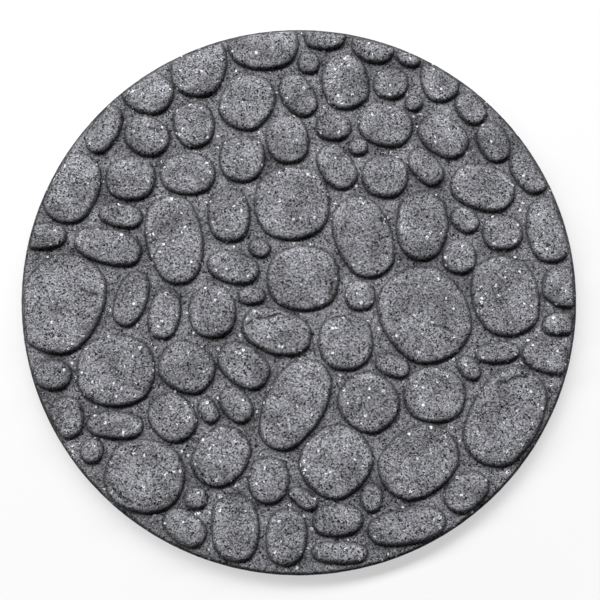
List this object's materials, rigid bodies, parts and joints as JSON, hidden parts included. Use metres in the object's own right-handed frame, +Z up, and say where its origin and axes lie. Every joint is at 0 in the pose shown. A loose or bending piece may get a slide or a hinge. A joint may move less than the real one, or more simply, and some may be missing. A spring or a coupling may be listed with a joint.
{
  "type": "garden stepping stone",
  "caption": "Round flat stepping stone moulded from bonded rubber crumb, with a river-rock relief of rounded cobbles on its top face and a plain flat underside that lies on level ground.",
  "frame": {"origin": "centre of the flat underside, on the floor", "axes": "+Z up through the relief, +Y towards the top of the pattern as pictured, +X to its right"},
  "size_m": [0.4569, 0.457, 0.016],
  "materials": {
    "crumb_rubber": "matte grey bonded crumb with white flecks and dark pits"
  },
  "bodies": {
    "root": {"stepping_stone": "crumb_rubber"}
  },
  "joints": []
}
